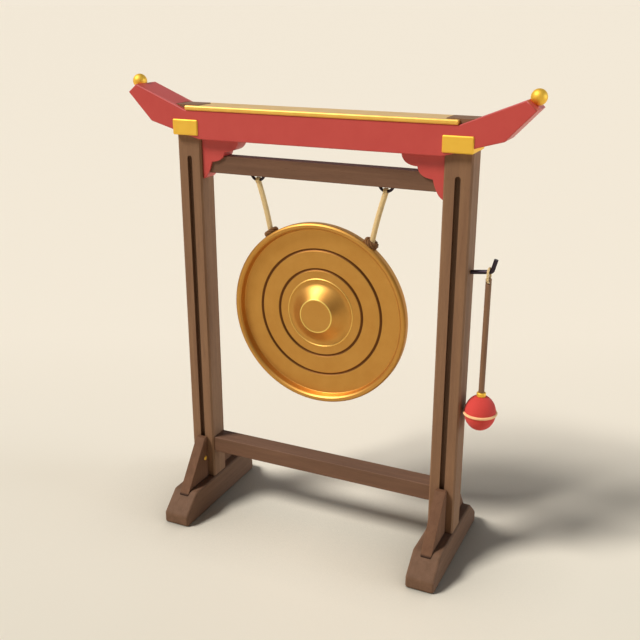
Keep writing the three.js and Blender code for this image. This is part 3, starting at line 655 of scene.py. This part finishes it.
HEAD_HEIGHT, HEAD_RADIUS, HEAD_HALF, HEAD_STEPS = 311.65, 28.6, 33.8, 48
HEAD_TOP, HOLE_FLOOR = 343.1, 317.0
head = [(0, HEAD_HEIGHT - HEAD_HALF)]
for i in range(1, HEAD_STEPS):
    turn = math.pi * (i / HEAD_STEPS - 0.5)
    height = HEAD_HEIGHT + HEAD_HALF * math.sin(turn)
    if height < COLLAR_LOW:
        head.append((HEAD_RADIUS * math.cos(turn), height))
head += [(COLLAR_RADIUS, HEAD_TOP), (HANDLE_HOLE, HEAD_TOP), (HANDLE_HOLE, HOLE_FLOOR), (0, HOLE_FLOOR)]
head = [(r * MM, height * MM) for r, height in head]
show("mallet_head_felt", mesh_of("head", turned(head, MALLET_MIDDLE, UPWARD, 96), 50),
     FELT, "mallet_head")

BAND_RADIUS, BAND_STRAND = 28.8 * MM, 5.2 * MM
BAND_LAY = {"strands": 8, "lay_length": 20 * MM, "yarns": 2, "ring_length": 0.8 * MM}
band = ring_points(MALLET_MIDDLE + UPWARD * HEAD_HEIGHT * MM, BAND_RADIUS, RIGHTWARD, BACKWARD, 96)
show("mallet_band_cotton", laid_cord(band, True, CREAM_CORD, BAND_STRAND, **BAND_LAY),
     CREAM_CORD, "mallet_band")

# Studio: one large triangle of paper floor, a soft sky and two broad lights. It isn't part of the stand.
FLOOR_REACH = 2000
bm = bmesh.new()
bm.faces.new([bm.verts.new((x * FLOOR_REACH, y * FLOOR_REACH, 0)) for x, y in ((-2, -1), (2, -1), (0, 3))])
floor = bpy.data.objects.new("floor", mesh_of("floor", bm, 30))
scene.collection.objects.link(floor)

PALER_WAY = (-0.42204, 0.90658, 0)


def paper_floor():
    """Matt cream background paper. It gives the eye a plain pale ground with painted light, a little paler
    toward the back of the studio and far from the stand, and painted shade, slightly greyer round the stand's
    feet."""
    made, tree = new_material("cream_paper_floor")
    here = add_node(tree, "ShaderNodeTexCoord").outputs["Object"]
    # Painted light: the floor's colour is paler toward the back and far from the stand
    along = add_node(tree, "ShaderNodeVectorMath", {"operation": "DOT_PRODUCT"}, [here, PALER_WAY])
    distance = add_node(tree, "ShaderNodeVectorMath", {"operation": "LENGTH"}, [here])
    near_back, far_off = (
        add_node(tree, "ShaderNodeMapRange", None, {"Value": value, "From Min": start, "From Max": end})
        for value, start, end in ((along, -0.5, 1.1), (distance, 2.5, 7.0)))
    paler = add_node(tree, "ShaderNodeMath", {"operation": "MAXIMUM"}, [near_back, far_off])
    tone = laid_over(tree, linear("eae0cc"), linear("faeeda"), paler, 0.0, 1.0)
    tone = laid_over(tree, tone, linear("f7efdf"), uneven(tree, (0.4,) * 3, Detail=2.0), 0.3, 0.7, 0.06)
    # Painted contact shade: the floor's colour is greyer where the stand closes off the sky close by
    open_above = add_node(tree, "ShaderNodeAmbientOcclusion", {"samples": 8}, {"Distance": 0.25}).outputs["AO"]
    tone = laid_over(tree, tone, linear("4a5047"), open_above, 1.0, 0.3, 0.65)
    finish_material(tree, tone, {"Roughness": 0.95, "Specular IOR Level": 0.1})
    return made


floor.data.materials.append(paper_floor())


def studio_sky(tree):
    """A soft white wall low behind the stand, a faint glow all round, and a reflecting card high in
    front that only gloss picks up. The camera itself sees plain cream."""
    direction = add_node(tree, "ShaderNodeTexCoord").outputs["Generated"]
    height = add_node(tree, "ShaderNodeSeparateXYZ", None, [direction]).outputs["Z"]
    toward_back = add_node(tree, "ShaderNodeVectorMath", {"operation": "DOT_PRODUCT"}, [direction, BACKWARD])
    toward_card = add_node(tree, "ShaderNodeVectorMath", {"operation": "DOT_PRODUCT"},
                           [direction, (0.26, -0.47, 0.84)])
    wall, low, glow, card = (
        add_node(tree, "ShaderNodeMapRange", {"interpolation_type": edge}, {
            "Value": value, "From Min": start, "From Max": end, "To Min": at_start, "To Max": at_end})
        for edge, value, start, end, at_start, at_end in (
            ("SMOOTHSTEP", toward_back, 0.3, 0.9, 0.0, 0.85),
            ("SMOOTHSTEP", height, 0.35, 0.65, 1.0, 0.1),
            ("SMOOTHSTEP", height, 0.25, 0.6, 0.2, 0.03),
            ("LINEAR", toward_card, 0.8, 0.95, 0.0, 0.5),
        ))
    ray = add_node(tree, "ShaderNodeLightPath").outputs
    light = add_node(tree, "ShaderNodeMath", {"operation": "MULTIPLY"}, [wall, low])
    light = add_node(tree, "ShaderNodeMath", {"operation": "MAXIMUM"}, [light, glow])
    card = add_node(tree, "ShaderNodeMath", {"operation": "MULTIPLY"}, [card, ray["Is Glossy Ray"]])
    light = add_node(tree, "ShaderNodeMath", {"operation": "ADD"}, [light, card])
    seen = ray["Is Camera Ray"]
    strength = add_node(tree, "ShaderNodeMix", {"data_type": "FLOAT"}, {
        "Factor_Float": seen, "A_Float": light, "B_Float": 0.9})
    colour = add_node(tree, "ShaderNodeMix", {"data_type": "RGBA"}, {
        "Factor_Float": seen, "A_Color": linear("ffffff"), "B_Color": linear("fff4e2")})
    sky = add_node(tree, "ShaderNodeBackground", None, {"Color": colour, "Strength": strength})
    add_node(tree, "ShaderNodeOutputWorld", None, {"Surface": sky})


world = bpy.data.worlds.new("studio")
scene.world = world
world.use_nodes = True
world.node_tree.nodes.clear()
studio_sky(world.node_tree)


def soft_sun(name, azimuth, elevation, spread, strength, colour):
    """A very large soft light, its place given as the camera's is, in degrees."""
    lamp = bpy.data.lights.new(name, "SUN")
    lamp.color = linear(colour)[:3]
    lamp.angle = math.radians(spread)
    lamp.energy = strength
    holder = bpy.data.objects.new(name, lamp)
    holder.rotation_euler = (math.radians(90 - elevation), 0, math.radians(azimuth))
    scene.collection.objects.link(holder)


soft_sun("key", -47.5, 48.5, 18, 3.32, "ffffff")
soft_sun("right", 102, 8, 25, 1.45, "dcedff")
